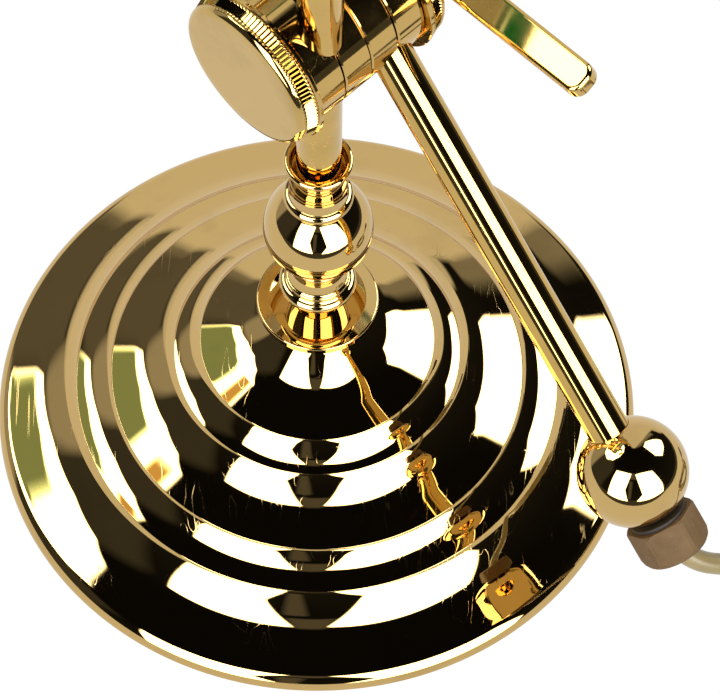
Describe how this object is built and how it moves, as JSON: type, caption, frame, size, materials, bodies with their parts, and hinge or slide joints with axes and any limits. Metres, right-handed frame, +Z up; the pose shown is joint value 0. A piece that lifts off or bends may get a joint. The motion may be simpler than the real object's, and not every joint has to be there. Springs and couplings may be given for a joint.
{
  "type": "desk lamp",
  "caption": "Counterbalanced brass desk lamp: stepped round foot, turned spindle, post with sliding swivel clamp, slanted arm with ball weight, green glass trough shade, cord with plug.",
  "frame": {"origin": "centre of the foot's underside, where it rests on the table", "axes": "+Z up along the post; the arm's ball end points to +X -Y, the shade to -X +Y"},
  "size_m": [0.5026, 0.334, 0.444],
  "materials": {
    "polished_brass": "polished to a mirror, with fine hairline scratches",
    "satin_steel": "zinc-plated, hidden inside",
    "cast_iron": "black painted casting",
    "green_felt": "short felt",
    "nylon": "natural nylon",
    "fibre": "pressed fibre washer",
    "brown_plastic": "matt moulded plastic",
    "dark_plastic": "matt moulded plastic",
    "cord_pvc": "gold-olive translucent PVC",
    "black_plastic": "moulded plastic",
    "pin_nickel": "nickel plated",
    "green_glass": "cased green glass, glossy",
    "opal_glass": "white opal glass layer",
    "porcelain": "glazed porcelain",
    "frosted_bulb": "frosted glass"
  },
  "bodies": {
    "stand": {"base_shell": "polished_brass", "felt_pad": "green_felt", "bottom_plate": "satin_steel", "base_weight": "cast_iron", "centre_rod": "satin_steel", "rod_nut": "satin_steel", "rod_washer": "satin_steel", "flange_dish": "polished_brass", "spindle_collar": "polished_brass", "spindle_ball": "polished_brass", "spindle_bead": "polished_brass", "spindle_cup": "polished_brass", "post_tube": "polished_brass", "post_finial": "polished_brass", "cord_lead": "cord_pvc", "cord_coil": "cord_pvc", "cord_tail": "cord_pvc", "cord_tie": "black_plastic", "plug_sleeve": "black_plastic", "mains_plug": "black_plastic", "plug_pins": "pin_nickel"},
    "slider": {"clamp_liner": "nylon"},
    "post_clamp": {"post_clamp_outer": "polished_brass", "post_clamp_inner": "polished_brass", "clamp_bolt": "satin_steel", "knob_washer": "fibre", "friction_washer": "fibre", "lever_washer": "polished_brass", "cap_nut": "polished_brass"},
    "clamp_knob": {"large_knob": "polished_brass"},
    "arm_clamp": {"arm_clamp_inner": "polished_brass", "arm_clamp_outer": "polished_brass"},
    "tilt_knob": {"right_knob": "polished_brass"},
    "lever": {"lock_lever": "polished_brass"},
    "arm": {"arm_tube": "polished_brass", "counterweight_ball": "polished_brass", "gland_neck": "dark_plastic", "cord_gland": "brown_plastic", "arm_cable": "cord_pvc", "arm_knuckle": "polished_brass"},
    "head": {"pivot_pin": "polished_brass", "pivot_nuts": "polished_brass", "shade_yoke": "polished_brass", "holder_nipple": "satin_steel", "holder_nut": "polished_brass", "shade_bracket": "polished_brass", "holder_plate": "polished_brass", "shade_glass": "green_glass", "shade_lining": "opal_glass", "shade_screws": "polished_brass", "shade_nuts": "polished_brass", "lampholder": "porcelain", "holder_ring": "polished_brass", "bulb_cap": "satin_steel", "bulb": "frosted_bulb"},
    "switch": {"switch_key": "polished_brass"}
  },
  "joints": [
    {"name": "clamp_lift", "type": "slide", "parent": "stand", "child": "slider", "axis": [0, 0, 1], "range_m": [-0.012, 0.07]},
    {"name": "clamp_swivel", "type": "hinge", "parent": "slider", "child": "post_clamp", "pos_m": [0, 0, 0.2123], "axis": [0, 0, 1], "range_deg": [-150, 150]},
    {"name": "clamp_knob_turn", "type": "hinge", "parent": "post_clamp", "child": "clamp_knob", "pos_m": [-0.00883, 0.00892, 0.2123], "axis": [0.7108, 0.7034, 0], "range_deg": [-180, 0]},
    {"name": "arm_tilt", "type": "hinge", "parent": "post_clamp", "child": "arm_clamp", "pos_m": [-0.00883, 0.00892, 0.2123], "axis": [0.7108, 0.7034, 0], "range_deg": [-60, 5], "deforming": ["cord_lead"]},
    {"name": "tilt_knob_turn", "type": "hinge", "parent": "post_clamp", "child": "tilt_knob", "pos_m": [-0.00883, 0.00892, 0.2123], "axis": [0.7108, 0.7034, 0], "range_deg": [0, 180]},
    {"name": "lever_turn", "type": "hinge", "parent": "post_clamp", "child": "lever", "pos_m": [-0.00883, 0.00892, 0.2123], "axis": [0.7108, 0.7034, 0], "range_deg": [-70, 60]},
    {"name": "arm_slide", "type": "slide", "parent": "arm_clamp", "child": "arm", "axis": [0.4811, -0.4861, -0.7296], "range_m": [-0.08, 0.015]},
    {"name": "shade_tilt", "type": "hinge", "parent": "arm", "child": "head", "pos_m": [-0.0843, 0.11646, 0.36502], "axis": [0.7108, 0.7034, 0], "range_deg": [-60, 50]},
    {"name": "switch_turn", "type": "hinge", "parent": "head", "child": "switch", "pos_m": [-0.11557, 0.08551, 0.40402], "axis": [0.7034, -0.7108, 0], "continuous": true}
  ]
}
